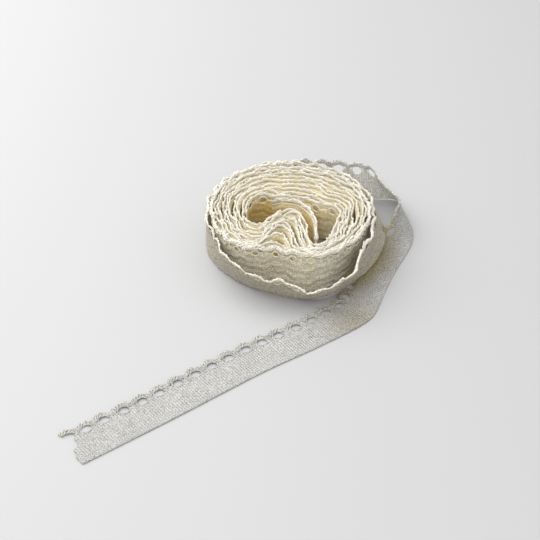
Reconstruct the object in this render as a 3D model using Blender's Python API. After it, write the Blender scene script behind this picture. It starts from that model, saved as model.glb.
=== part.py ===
"""A loosely wound roll of scalloped lace trim with its loose end.

Lengths are in millimetres until a mesh is made, and +Z is up. The origin lies on the resting surface
at the middle of the roll, under the folded tongue of inner turns. Azimuths are in degrees, counted
anticlockwise from +X. The roll lies on its side, so the tape's width stands upright and its scalloped
edge is on top.
"""
import math
from collections import namedtuple

import bmesh
import bpy
from mathutils import Vector

MILLIMETRE = 0.001

# The tape
TAPE_WIDTH = 15.0
SCALLOP_PITCH = 6.84
SCALLOP_DEPTH = 1.5
EYELET_LENGTH = 4.0
EYELET_WIDTH = 2.7
EYELET_CENTRE = 12.3

# The wound form
SCALLOPS_ROUND_ROLL = 28
STEPS_PER_SCALLOP = 4
ROLL_HEIGHT = 15.0
INNER_RIDGES = 6
RIDGE_DEPTH = 2.2
TURN_WIDTH = 1.3
EDGE_SHOULDER = 0.7
GAP_CLEARANCE = 0.4
EDGE_WAVE = 0.45

# The loose end's solid
SHEET = 1.0
REST_CLEARANCE = 0.06
GROUND_ROWS = 2

# The cut end, by distances back from the plain edge's corner and heights above that edge
LAST_EYELET_BACK = 9.0
TORN_BACK, TORN_HEIGHT = 2.5, 11.0
STUB_BACK = 0.9
STUB_LOW, STUB_HIGH = 13.1, 14.5

OuterTurn = namedtuple("OuterTurn", "azimuth foot base lift edge height gap rim")
# Radii and heights of the outermost turn, whose top edge flares out as a collar at the front:
# foot and base are its radii at the surface and just above it, lift is how far the base is held up,
# edge and height place its scalloped edge, gap is the floor of the groove behind it,
# and rim is the radius of the next turn's scalloped edge.
OUTER_TURNS = [
    OuterTurn(0, 30.3, 34.0, 6.4, 29.8, 14.6, 12.6, 28.0),
    OuterTurn(20, 33.2, 34.4, 1.8, 30.3, 14.6, 12.6, 28.4),
    OuterTurn(40, 33.0, 33.8, 0.8, 31.4, 14.9, 12.8, 29.6),
    OuterTurn(60, 32.5, 33.4, 0.8, 32.6, 15.0, 12.8, 30.8),
    OuterTurn(80, 32.4, 33.2, 0.8, 33.0, 15.0, 12.8, 31.2),
    OuterTurn(100, 32.2, 33.0, 0.8, 32.8, 15.0, 12.8, 31.0),
    OuterTurn(120, 31.9, 32.7, 0.8, 32.8, 15.0, 12.8, 31.0),
    OuterTurn(140, 31.2, 32.0, 0.8, 32.0, 15.0, 12.8, 30.2),
    OuterTurn(160, 30.7, 31.5, 0.8, 31.2, 15.0, 12.8, 29.4),
    OuterTurn(180, 30.6, 31.4, 0.8, 30.9, 15.0, 12.8, 29.1),
    OuterTurn(200, 30.2, 31.0, 0.8, 31.6, 15.0, 12.0, 29.6),
    OuterTurn(215, 29.7, 30.5, 0.8, 33.5, 14.7, 7.5, 30.3),
    OuterTurn(228, 29.7, 30.5, 0.8, 35.8, 14.0, 4.5, 30.6),
    OuterTurn(239, 30.0, 30.8, 0.8, 38.0, 13.2, 2.8, 29.8),
    OuterTurn(251, 29.4, 30.2, 0.8, 39.3, 11.9, 2.2, 29.1),
    OuterTurn(263, 29.7, 30.5, 0.8, 39.6, 11.9, 2.2, 29.0),
    OuterTurn(270, 30.2, 31.1, 0.8, 41.4, 10.8, 2.2, 29.2),
    OuterTurn(277, 31.8, 32.8, 0.8, 43.7, 9.8, 2.2, 29.8),
    OuterTurn(285, 32.2, 33.6, 1.0, 43.8, 10.7, 2.2, 30.8),
    OuterTurn(293, 30.8, 32.6, 1.4, 42.4, 11.3, 2.4, 31.0),
    OuterTurn(302, 29.4, 31.5, 2.0, 40.3, 12.0, 3.0, 30.8),
    OuterTurn(311, 28.6, 31.0, 2.4, 35.8, 13.8, 4.6, 30.6),
    OuterTurn(320, 28.2, 31.2, 2.6, 33.6, 14.5, 7.5, 30.2),
    OuterTurn(331, 27.6, 32.2, 4.4, 31.9, 14.9, 12.0, 29.6),
    OuterTurn(345, 28.0, 33.3, 6.4, 30.4, 14.8, 12.6, 28.3),
]

HollowPoint = namedtuple("HollowPoint", "azimuth x y")
# The wall of the hollow in the roll's middle, matched to the azimuth it is reached from: a round
# left bay, a slit along the back, a right bay, then the tongue of turns folded in from the front.
HOLLOW = [
    HollowPoint(-158, -15.9, -5.5),
    HollowPoint(-140, -13.0, -7.3),
    HollowPoint(-126, -9.5, -4.5),
    HollowPoint(-116, -6.0, -1.9),
    HollowPoint(-109, -3.2, 1.0),
    HollowPoint(-103, -2.0, 3.8),
    HollowPoint(-97, 2.0, 2.6),
    HollowPoint(-90, 5.4, -0.9),
    HollowPoint(-83, 7.6, -5.8),
    HollowPoint(-76, 8.5, -11.2),
    HollowPoint(-68, 8.4, -16.6),
    HollowPoint(-58, 10.4, -19.2),
    HollowPoint(-45, 13.0, -17.4),
    HollowPoint(-30, 14.2, -13.2),
    HollowPoint(-15, 14.8, -10.6),
    HollowPoint(0, 15.9, -5.6),
    HollowPoint(15, 16.2, -1.8),
    HollowPoint(30, 13.6, 0.8),
    HollowPoint(45, 9.0, 1.6),
    HollowPoint(60, 4.4, 5.4),
    HollowPoint(75, -1.0, 7.0),
    HollowPoint(90, -5.8, 7.4),
    HollowPoint(105, -10.2, 9.3),
    HollowPoint(125, -13.9, 7.5),
    HollowPoint(150, -15.9, 4.0),
    HollowPoint(180, -16.4, -1.4),
]

StripSection = namedtuple("StripSection", "x y lean towards arch")
# Sections of the loose end from the roll's back round to its cut end: where the plain edge meets
# the surface, how far the tape leans from upright, the azimuth it leans towards, and how far its
# middle rises above a straight line.
LOOSE_END = [
    StripSection(8.0, 34.8, 0, 200, 0.0),
    StripSection(16.0, 33.6, 0, 200, 0.0),
    StripSection(24.0, 31.6, 2, 200, 0.0),
    StripSection(31.0, 30.6, 8, 198, 0.0),
    StripSection(37.6, 30.4, 24, 196, 0.0),
    StripSection(40.6, 29.6, 40, 236, 0.0),
    StripSection(42.0, 27.6, 52, 262, 0.0),
    StripSection(43.1, 22.6, 53, 254, 0.3),
    StripSection(44.4, 15.4, 53, 238, 0.8),
    StripSection(45.3, 8.0, 54, 220, 1.2),
    StripSection(44.2, 1.0, 71, 214, 1.0),
    StripSection(41.2, -7.0, 82, 208, 0.8),
    StripSection(37.6, -15.0, 87, 196, 0.5),
    StripSection(34.4, -23.4, 89, 181, 0.4),
    StripSection(31.4, -32.4, 90, 162, 0.4),
    StripSection(28.6, -42.0, 90, 138, 0.4),
    StripSection(22.6, -49.6, 90, 127, 0.4),
    StripSection(8.0, -60.6, 90, 125, 0.3),
    StripSection(-9.3, -72.8, 90, 127, 0.1),
    StripSection(-24.0, -84.4, 90, 128, 0.4),
    StripSection(-38.3, -95.9, 90, 128, 0.1),
    StripSection(-52.5, -106.9, 90, 128, 0.3),
    StripSection(-64.1, -115.8, 90, 128, 0.0),
]

ROLL_COLOUR = (0.76, 0.68, 0.49, 1.0)
TAIL_COLOUR = (0.72, 0.69, 0.60, 1.0)


def hermite(rows, knots, position, column):
    """Reads one column of a table at a position between its knots, on a smooth curve."""
    last = len(rows) - 1
    index = 0
    while index < last - 1 and position > knots[index + 1]:
        index += 1

    def value(i):
        return getattr(rows[min(max(i, 0), last)], column)

    def slope(i):
        low, high = max(i - 1, 0), min(i + 1, last)
        return (value(high) - value(low)) / (knots[high] - knots[low])

    span = knots[index + 1] - knots[index]
    t = (position - knots[index]) / span
    blend = t * t * (3 - 2 * t)
    ease_out = t * (1 - t) ** 2
    ease_in = t * t * (t - 1)
    start, end = value(index), value(index + 1)
    return start + (end - start) * blend + span * (ease_out * slope(index) + ease_in * slope(index + 1))


def closed_table(rows):
    """Repeats a table round the circle on both sides, and returns it with its azimuths as knots."""
    rows = sorted(rows, key=lambda row: row.azimuth)
    before = [row._replace(azimuth=row.azimuth - 360) for row in rows[-3:]]
    after = [row._replace(azimuth=row.azimuth + 360) for row in rows[:3]]
    table = before + rows + after
    return table, [row.azimuth for row in table]


def read_ring(table, knots, azimuth):
    """Reads every column of a closed table at an azimuth."""
    columns = table[0]._fields[1:]
    while azimuth > knots[-3]:
        azimuth -= 360
    while azimuth < knots[2]:
        azimuth += 360
    return {name: hermite(table, knots, azimuth, name) for name in columns}


def roll_section(azimuth):
    """The roll's cut face at one azimuth, from its foot outside, over the top, to the hollow."""
    turn = read_ring(*OUTER_TABLE, azimuth)
    hollow = read_ring(*HOLLOW_TABLE, azimuth)
    angle = math.radians(azimuth)
    ray = Vector((math.cos(angle), math.sin(angle), 0.0))
    wave = EDGE_WAVE * math.cos(angle * SCALLOPS_ROUND_ROLL)
    sway = 0.35 * math.sin(3 * angle + 1.0) + 0.25 * math.sin(7 * angle)

    lift, base, edge = turn["lift"], turn["base"], turn["edge"]
    top, rim, gap = turn["height"] + wave, turn["rim"], turn["gap"]
    middle = 0.5 * (lift + top)
    rim_top = ROLL_HEIGHT + 0.5 * wave + 0.4 * sway
    up_the_inside = (gap - lift) / max(top - lift, 1.0)
    collar_foot = base + (edge - base) * up_the_inside - TURN_WIDTH
    profile = [
        (turn["foot"], 0.0),
        (turn["foot"], lift),
        (base, lift + 0.2),
        (0.5 * (base + edge) + 0.35, middle),
        (edge, top - EDGE_SHOULDER),
        (edge - 0.5 * TURN_WIDTH, top),
        (edge - TURN_WIDTH, top - EDGE_SHOULDER),
        (max(collar_foot, rim + 2 * GAP_CLEARANCE), gap),
        (rim + GAP_CLEARANCE, gap - 0.2),
        (rim, rim_top - EDGE_SHOULDER),
        (rim - 0.5 * TURN_WIDTH, rim_top),
    ]
    points = [ray * radius + Vector((0, 0, height)) for radius, height in profile]

    rim_inside = ray * (rim - TURN_WIDTH)
    wall = Vector((hollow["x"], hollow["y"], 0.0))
    for ridge in range(INNER_RIDGES):
        start = ridge / INNER_RIDGES
        crest = (ridge + 0.6) / INNER_RIDGES
        ridge_sway = 0.5 * math.sin(2 * angle + 1.7 * ridge) + 0.3 * math.sin(5 * angle + ridge)
        points.append(rim_inside.lerp(wall, start) + Vector((0, 0, ROLL_HEIGHT - RIDGE_DEPTH)))
        points.append(rim_inside.lerp(wall, crest) + Vector((0, 0, ROLL_HEIGHT - 0.3 + 0.6 * ridge_sway)))
    points.append(wall + Vector((0, 0, ROLL_HEIGHT - 1.2)))
    points.append(wall)
    return points


def build_wound_roll():
    """All the wound turns as one solid ring round the hollow, flat where it rests."""
    steps = SCALLOPS_ROUND_ROLL * STEPS_PER_SCALLOP
    mesh = bmesh.new()
    rings = []
    for step in range(steps):
        azimuth = 360.0 * step / steps
        rings.append([mesh.verts.new(point * MILLIMETRE) for point in roll_section(azimuth)])
    for step in range(steps):
        here, there = rings[step], rings[(step + 1) % steps]
        for i in range(len(here)):
            j = (i + 1) % len(here)
            mesh.faces.new((here[i], there[i], there[j], here[j]))
    return finish_mesh(mesh, "wound_roll", ROLL_COLOUR)


def strip_edges(distance):
    """The plain edge, the scalloped edge and the arch of the loose end at a distance along it."""
    row = {name: hermite(LOOSE_END, STRIP_KNOTS, distance, name) for name in StripSection._fields}
    lean, towards = math.radians(row["lean"]), math.radians(row["towards"])
    across = Vector(
        (math.sin(lean) * math.cos(towards), math.sin(lean) * math.sin(towards), math.cos(lean))
    )
    plain = Vector((row["x"], row["y"], 0.5 * SHEET * math.sin(lean) + REST_CLEARANCE))
    return plain, across, row["arch"]


def strip_surface(distance, width):
    """A point on the middle surface of the loose end, and the surface's normal there."""

    def at(s, u):
        plain, across, arch = strip_edges(s)
        rise = Vector((0, 0, arch * math.sin(math.pi * min(max(u / TAPE_WIDTH, 0), 1))))
        return plain + across * u + rise

    nudge = 0.05
    along = at(distance + nudge, width) - at(distance - nudge, width)
    across = at(distance, width + nudge) - at(distance, width - nudge)
    return at(distance, width), across.cross(along).normalized()


def strip_pattern():
    """The loose end laid flat: its points and faces, a row of eyelets under a scalloped edge."""
    whole_end = STRIP_LENGTH - LAST_EYELET_BACK + 0.5 * SCALLOP_PITCH
    cells = int(whole_end // SCALLOP_PITCH)
    points, faces, index = [], [], {}

    def point(s, u):
        key = (round(s, 3), round(u, 3))
        if key not in index:
            index[key] = len(points)
            points.append((s, u))
        return index[key]

    top = TAPE_WIDTH
    notch = TAPE_WIDTH - SCALLOP_DEPTH
    band = EYELET_CENTRE - 0.5 * EYELET_WIDTH - 1.3
    side = 0.5 * (band + notch)
    first = whole_end - cells * SCALLOP_PITCH
    rows = [band * part / GROUND_ROWS for part in range(GROUND_ROWS + 1)]
    for cell in range(cells):
        left = first + cell * SCALLOP_PITCH
        columns = [left + SCALLOP_PITCH * part / 3 for part in range(4)]
        for a, b in zip(columns, columns[1:]):
            for low, high in zip(rows, rows[1:]):
                faces.append((point(a, low), point(b, low), point(b, high), point(a, high)))

        border = [
            (columns[3], side), (columns[3], notch),
            (left + SCALLOP_PITCH * 0.78, top - 0.25 * SCALLOP_DEPTH),
            (left + SCALLOP_PITCH * 0.5, top),
            (left + SCALLOP_PITCH * 0.22, top - 0.25 * SCALLOP_DEPTH),
            (columns[0], notch), (columns[0], side), (columns[0], band),
            (columns[1], band), (columns[2], band), (columns[3], band),
        ]
        hole = []
        for s, u in border:
            turn = math.atan2(u - EYELET_CENTRE, s - left - 0.5 * SCALLOP_PITCH)
            hole.append((
                left + 0.5 * SCALLOP_PITCH + 0.5 * EYELET_LENGTH * math.cos(turn),
                EYELET_CENTRE + 0.5 * EYELET_WIDTH * math.sin(turn),
            ))
        for i in range(len(border)):
            j = (i + 1) % len(border)
            faces.append((point(*border[i]), point(*border[j]), point(*hole[j]), point(*hole[i])))

    torn, tip = STRIP_LENGTH - TORN_BACK, STRIP_LENGTH - STUB_BACK
    for low, high in zip(rows, rows[1:]):
        faces.append((point(whole_end, low), point(torn, low), point(torn, high), point(whole_end, high)))
    low, high = rows[0], rows[1]
    faces.append((point(torn, low), point(STRIP_LENGTH, low), point(STRIP_LENGTH, high), point(torn, high)))
    faces.append((point(torn, rows[1]), point(STRIP_LENGTH, rows[1]), point(torn, rows[2])))
    faces.append((point(whole_end, band), point(torn, band), point(torn, TORN_HEIGHT), point(whole_end, side)))
    faces.append((point(whole_end, side), point(tip, STUB_LOW), point(tip, STUB_HIGH), point(whole_end, notch)))
    return points, faces


def build_loose_end():
    """The strip that leaves the roll's back, folds at the right and runs out flat to its cut end."""
    points, faces = strip_pattern()
    mesh = bmesh.new()
    layers = []
    for side in (0.5, -0.5):
        layer = []
        for s, u in points:
            place, normal = strip_surface(s, u)
            layer.append(mesh.verts.new((place + normal * (side * SHEET)) * MILLIMETRE))
        layers.append(layer)
    upper, lower = layers
    uses = {}
    for face in faces:
        mesh.faces.new([upper[i] for i in face])
        mesh.faces.new([lower[i] for i in reversed(face)])
        for a, b in zip(face, face[1:] + face[:1]):
            uses[(a, b)] = True
    for a, b in uses:
        if (b, a) not in uses:
            mesh.faces.new((upper[b], upper[a], lower[a], lower[b]))
    return finish_mesh(mesh, "loose_end", TAIL_COLOUR)


def finish_mesh(mesh, name, colour):
    """Turns the faces outwards, shades them smooth and makes the object with its material."""
    bmesh.ops.recalc_face_normals(mesh, faces=mesh.faces)
    bmesh.ops.triangulate(mesh, faces=mesh.faces)
    data = bpy.data.meshes.new(name)
    mesh.to_mesh(data)
    mesh.free()
    data.shade_smooth()
    data.set_sharp_from_angle(angle=math.radians(50))
    material = bpy.data.materials.new(name)
    material.use_nodes = True
    shader = material.node_tree.nodes["Principled BSDF"]
    shader.inputs["Base Color"].default_value = colour
    shader.inputs["Roughness"].default_value = 0.85
    shader.inputs["Metallic"].default_value = 0.0
    data.materials.append(material)
    thing = bpy.data.objects.new(name, data)
    bpy.context.collection.objects.link(thing)
    return thing


def strip_lengths():
    """How far along the loose end each of its sections lies, measured half way up the tape."""
    knots, middle = [0.0], None
    for row in LOOSE_END:
        lean, towards = math.radians(row.lean), math.radians(row.towards)
        half = 0.5 * TAPE_WIDTH
        here = Vector((
            row.x + half * math.sin(lean) * math.cos(towards),
            row.y + half * math.sin(lean) * math.sin(towards),
            half * math.cos(lean),
        ))
        if middle is not None:
            knots.append(knots[-1] + (here - middle).length)
        middle = here
    return knots


for item in list(bpy.data.objects):
    bpy.data.objects.remove(item, do_unlink=True)

OUTER_TABLE = closed_table(OUTER_TURNS)
HOLLOW_TABLE = closed_table(HOLLOW)
STRIP_KNOTS = strip_lengths()
STRIP_LENGTH = STRIP_KNOTS[-1]

build_wound_roll()
build_loose_end()
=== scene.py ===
"""The looks of a loosely wound roll of scalloped lace trim.

The tape is described once, as a path of upright or leaning sections from the wound middle to the cut
end. Every thread is laid out on the flat tape, by its distance along it, its height above the plain
edge and its offset from the cloth's middle surface, and is then carried over to that path.
Lengths are in millimetres until a mesh is made.
"""
import math
from collections import namedtuple

import bpy
import numpy as np
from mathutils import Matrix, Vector


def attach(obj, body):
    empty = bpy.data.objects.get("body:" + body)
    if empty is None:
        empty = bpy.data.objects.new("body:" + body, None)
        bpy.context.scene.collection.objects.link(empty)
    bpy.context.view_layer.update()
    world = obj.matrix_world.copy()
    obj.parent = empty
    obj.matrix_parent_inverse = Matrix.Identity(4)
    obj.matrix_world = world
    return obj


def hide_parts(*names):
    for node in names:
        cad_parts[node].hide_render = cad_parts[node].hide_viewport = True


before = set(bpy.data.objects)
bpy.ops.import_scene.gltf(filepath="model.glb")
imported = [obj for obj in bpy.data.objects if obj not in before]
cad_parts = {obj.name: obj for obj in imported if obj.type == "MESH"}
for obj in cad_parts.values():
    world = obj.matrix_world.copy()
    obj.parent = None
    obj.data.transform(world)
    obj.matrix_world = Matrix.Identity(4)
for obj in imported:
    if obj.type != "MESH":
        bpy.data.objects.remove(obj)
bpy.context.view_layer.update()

MILLIMETRE = 0.001
RANDOM = np.random.default_rng(7)

# The flat tape, with heights from its plain edge
TAPE_WIDTH = 15.0
SCALLOP_PITCH = 6.84
SCALLOP_TOP = 15.0
SCALLOP_POWER = 2.5
LAST_EYELET_FROM_END = 9.0
CORD_FROM_END = 0.9
EYELET_HEIGHT = 12.6
EYELET_HALF_LENGTH = 2.05
EYELET_HALF_HEIGHT = 1.75
NET_BOTTOM, NET_TOP = 0.2, 12.9
RIB_PITCH = 0.93
ROW_PITCH = 0.86
WEAVE_STEP = 0.31
WEAVE_ROWS = 40
PINHOLE_SPACING = 3
OPEN_NET_THICKNESS = 0.26
CLOSE_NET_THICKNESS = 0.3

# Threads: the edge cord's plies and loops, the eyelets' rings and bars, and the plain edge's thread
PLY_RADIUS = 0.31
PLY_OFFSET = 0.57
PLY_TWIST = 3.3
CORD_KNOTS = 2.1
CORD_UNEVENNESS = 0.13
CORD_SWELL = 0.09
CORD_AT_CURL = 0.45
PICOT_RADIUS = 0.17
PICOT_REACH = 0.55
RING_RADIUS = 0.22
RING_LIFT = 0.15
RING_SWELL = 0.14
BAR_RADIUS = 0.28
BAR_BOTTOM, BAR_TOP = 10.9, 13.0
SELVAGE_RADIUS = 0.16
SELVAGE_STEP = 0.6

CordLay = namedtuple("CordLay", "flatness lift")
# How flat the cord lies and how far it stands out of the cloth, where the tape lies down or is wound.
LYING_CORD = CordLay(0.2, 0.14)
WOUND_CORD = CordLay(0.4, 0.25)

Fade = namedtuple("Fade", "start width")
# Where the painted light and shade change, from a start on and over a width: by height on the tape
# (painted shade below the scallops' tops), by place to the right or to the back of the roll's middle
# (painted light down the right bay, where the tape leaves the roll's back and behind the roll), and by
# distance from that middle (painted shade of the roll beside it).
RIM_FADE = Fade(9.6, 4.4)
BAY_LEFT_FADE = Fade(6.0, 5.0)
BAY_RIGHT_FADE = Fade(16.0, 3.0)
LEAVING_FADE = Fade(-22.0, 26.0)
OUTER_BACK_FADE = Fade(18.0, 8.0)
SIDE_FADE = Fade(-4.0, 20.0)
BEHIND_FADE = Fade(14.0, 12.0)
SHADE_FADE = Fade(29.0, 16.0)
# Painted light and shade: a dim spot of painted shade where the loose end turns, at this place and reach; how
# much deeper the painted shade is between a cord's plies; and how much lighter on raised ribs and darker in
# sunk ones the cloth is painted.
TURNING_X, TURNING_Y, TURNING_REACH = 22.0, -48.0, 12.0
WOUND_GROOVE_SHADE, LYING_GROOVE_SHADE = 0.6, 0.3
WOUND_RIB_SHADING, LYING_RIB_SHADING = 0.4, 2.4

# The path
LEAVING_AZIMUTH = 80.0
LEAVING_TURNS_IN = 0.04
FREE_SHARE = 0.78
TURNS = 10.3
PATH_STEP = 0.25
PATH_SAMPLES_PER_TURN = 720
NET_REST = 0.3
SWAY_FROM, SWAY_SPAN = 7.0, 7.0
SWAY_KNOTS = 3.3
COLLAR_FADE_IN = Fade(185.0, 20.0)
COLLAR_FADE_OUT = Fade(290.0, 16.0)
COLLAR_CURL = 0.03
CURL_FROM = 10.8
INNERMOST_LENGTH = 110.0

OuterTurn = namedtuple("OuterTurn", "azimuth base lift edge height rim foot")
# Radii and heights of the outermost turn: base and lift place its plain edge, edge and height its
# scalloped edge. rim and foot are the radii of the next turn's scalloped and plain edges.
OUTER_TURNS = [
    OuterTurn(0, 34.8, 5.0, 29.6, 14.8, 28.5, 27.9),
    OuterTurn(20, 34.6, 1.4, 30.3, 14.8, 28.9, 28.5),
    OuterTurn(40, 33.8, 0.3, 31.4, 14.9, 30.1, 29.7),
    OuterTurn(60, 33.4, 0.3, 32.6, 15.0, 31.3, 30.7),
    OuterTurn(80, 33.2, 0.3, 33.0, 15.0, 31.7, 31.1),
    OuterTurn(100, 33.0, 0.3, 32.8, 15.0, 31.5, 30.9),
    OuterTurn(120, 32.7, 0.3, 32.8, 15.0, 31.5, 30.9),
    OuterTurn(140, 32.0, 0.3, 32.0, 15.0, 30.7, 30.3),
    OuterTurn(160, 31.5, 0.3, 31.2, 15.0, 29.9, 29.7),
    OuterTurn(180, 31.4, 0.3, 30.9, 15.0, 29.6, 29.5),
    OuterTurn(200, 31.0, 0.3, 31.4, 15.0, 29.6, 29.4),
    OuterTurn(215, 30.5, 0.3, 33.2, 14.7, 30.3, 29.6),
    OuterTurn(228, 30.5, 0.3, 35.4, 14.0, 30.6, 29.8),
    OuterTurn(239, 30.8, 0.3, 37.6, 13.2, 29.8, 30.0),
    OuterTurn(251, 31.2, 0.3, 38.9, 11.9, 29.1, 30.4),
    OuterTurn(263, 32.4, 0.3, 39.6, 11.6, 29.0, 31.4),
    OuterTurn(270, 33.4, 0.3, 41.2, 10.8, 29.2, 32.2),
    OuterTurn(277, 34.4, 0.3, 43.3, 9.8, 29.8, 32.8),
    OuterTurn(285, 34.8, 0.5, 43.4, 10.7, 30.8, 32.6),
    OuterTurn(293, 34.6, 0.8, 42.0, 11.3, 31.0, 32.0),
    OuterTurn(302, 34.2, 1.1, 39.8, 12.0, 30.8, 31.0),
    OuterTurn(311, 33.4, 1.4, 35.6, 13.8, 30.6, 30.4),
    OuterTurn(320, 33.1, 1.7, 33.4, 14.5, 30.2, 29.8),
    OuterTurn(331, 33.3, 2.4, 31.7, 14.9, 30.1, 29.3),
    OuterTurn(345, 34.0, 4.0, 30.2, 14.9, 28.8, 28.3),
]

HollowPoint = namedtuple("HollowPoint", "azimuth x y")
# The innermost turn's path: a left bay, a slit along the back, a right bay and the tongue between.
HOLLOW = [
    HollowPoint(-158, -15.9, -5.5),
    HollowPoint(-140, -13.0, -7.9),
    HollowPoint(-130, -10.2, -6.4),
    HollowPoint(-121, -7.2, -3.4),
    HollowPoint(-112, -3.9, -0.4),
    HollowPoint(-104, -0.4, 1.0),
    HollowPoint(-97, 2.9, -0.4),
    HollowPoint(-90, 4.8, -6.0),
    HollowPoint(-83, 5.8, -13.4),
    HollowPoint(-76, 6.6, -19.8),
    HollowPoint(-68, 8.2, -23.0),
    HollowPoint(-58, 10.6, -22.4),
    HollowPoint(-45, 13.4, -17.0),
    HollowPoint(-30, 14.6, -11.0),
    HollowPoint(-15, 14.8, -10.6),
    HollowPoint(0, 15.9, -5.6),
    HollowPoint(15, 16.2, -1.8),
    HollowPoint(30, 13.6, 0.8),
    HollowPoint(45, 9.0, 1.6),
    HollowPoint(60, 4.4, 5.4),
    HollowPoint(75, -1.0, 7.0),
    HollowPoint(90, -5.8, 7.4),
    HollowPoint(105, -10.2, 9.3),
    HollowPoint(125, -13.9, 7.5),
    HollowPoint(150, -15.9, 4.0),
    HollowPoint(180, -16.4, -1.4),
]

TonguePoint = namedtuple("TonguePoint", "azimuth outer_x outer_y middle_x middle_y")
# Two turns between the rim and the hollow at the tongue, where they climb over it, plunge and turn back.
TONGUE = [
    TonguePoint(-158, -22.6, -11.6, -19.6, -9.0),
    TonguePoint(-150, -21.0, -15.6, -18.9, -13.3),
    TonguePoint(-140, -17.6, -19.8, -15.6, -17.0),
    TonguePoint(-130, -14.2, -22.6, -12.0, -17.4),
    TonguePoint(-121, -11.0, -20.5, -8.9, -13.6),
    TonguePoint(-112, -8.8, -16.4, -6.2, -9.9),
    TonguePoint(-104, -5.9, -13.4, -2.8, -7.2),
    TonguePoint(-97, -3.1, -15.2, 0.4, -7.6),
    TonguePoint(-90, -1.7, -20.2, 1.9, -13.0),
    TonguePoint(-83, -0.5, -24.6, 2.8, -19.2),
    TonguePoint(-76, 2.6, -27.4, 4.2, -24.2),
    TonguePoint(-68, 7.6, -27.6, 7.3, -26.0),
    TonguePoint(-58, 12.4, -25.5, 11.2, -24.4),
    TonguePoint(-45, 17.6, -20.0, 15.6, -18.6),
    TonguePoint(-30, 21.7, -12.8, 18.5, -10.0),
]
# How deep the rim, those two turns and the hollow lie in the roll, as shares, and how strongly the turns
# bunch towards thirds of that depth over the tongue, where azimuth is within the fades.
GUIDE_DEPTHS = np.array([0.0, 0.33, 0.6, 1.0])
TONGUE_BUNCHING = 0.35
TONGUE_FADE_IN = Fade(-166.0, 14.0)
TONGUE_FADE_OUT = Fade(-32.0, 16.0)

TornPoint = namedtuple("TornPoint", "back height")
# The torn line of the cloth at the cut end: the height it keeps at distances back from the corner.
TORN_LINE = [
    TornPoint(0.0, 2.6),
    TornPoint(0.9, 5.2),
    TornPoint(1.3, 6.7),
    TornPoint(2.4, 7.0),
    TornPoint(3.6, 7.7),
    TornPoint(3.9, 10.9),
    TornPoint(4.6, 11.3),
    TornPoint(5.0, 12.6),
    TornPoint(5.2, 20.0),
]

Kink = namedtuple("Kink", "x y push_x push_y width_x width_y")
# Places where the wound turns buckle, and how far they are pushed there.
KINKS = [
    Kink(-22.0, 6.0, -0.7, 0.4, 4.0, 5.0),
    Kink(6.0, 16.0, 0.4, 1.2, 6.0, 4.0),
    Kink(21.0, 6.0, 0.8, 0.3, 4.0, 5.0),
]

StripSection = namedtuple("StripSection", "x y lean towards arch")
# The loose end from the roll's back round to its cut end: where the plain edge stands, how far the
# tape leans from upright, the azimuth it leans towards, and how far its middle rises.
LOOSE_END = [
    StripSection(8.0, 34.0, 0, 200, 0.0),
    StripSection(16.0, 33.2, 0, 200, 0.0),
    StripSection(24.0, 31.6, 2, 200, 0.0),
    StripSection(31.0, 30.6, 8, 198, 0.0),
    StripSection(37.6, 30.4, 24, 196, 0.0),
    StripSection(40.6, 29.6, 40, 236, 0.0),
    StripSection(42.0, 27.6, 52, 262, 0.0),
    StripSection(43.1, 22.6, 53, 254, 0.3),
    StripSection(44.6, 15.4, 54, 237, 0.8),
    StripSection(45.6, 8.0, 59, 219, 1.2),
    StripSection(44.9, 1.0, 73, 203, 1.0),
    StripSection(42.0, -7.0, 84, 184, 0.8),
    StripSection(38.4, -15.0, 88, 170, 0.5),
    StripSection(35.0, -23.4, 89, 160, 0.4),
    StripSection(31.8, -32.4, 90, 153, 0.4),
    StripSection(28.9, -41.0, 90, 149, 0.4),
    StripSection(26.4, -45.6, 90, 141, 0.4),
    StripSection(21.8, -50.2, 90, 131, 0.4),
    StripSection(8.0, -60.6, 90, 126, 0.3),
    StripSection(-9.3, -72.8, 90, 127, 0.1),
    StripSection(-24.0, -84.4, 90, 128, 0.4),
    StripSection(-38.3, -95.9, 90, 128, 0.1),
    StripSection(-52.5, -106.9, 90, 128, 0.3),
    StripSection(-64.1, -115.8, 90, 128, 0.0),
]

EndPoint = namedtuple("EndPoint", "x y height")
# The tape's inner end, upright: from the back wall over the tongue and down between the bays.
# height is that of its scalloped edge.
INNER_END = [
    EndPoint(-7.2, 8.0, 13.2),
    EndPoint(-4.6, 7.0, 14.6),
    EndPoint(-1.8, 5.8, 15.3),
    EndPoint(1.2, 4.6, 15.5),
    EndPoint(4.0, 2.6, 15.5),
    EndPoint(6.3, -0.4, 15.4),
    EndPoint(7.6, -4.4, 15.2),
    EndPoint(8.2, -8.8, 14.8),
    EndPoint(8.4, -12.8, 14.0),
    EndPoint(8.6, -16.4, 12.6),
]

ThreadLook = namedtuple("ThreadLook", "tones through_share grain_size grain_low")
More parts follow.
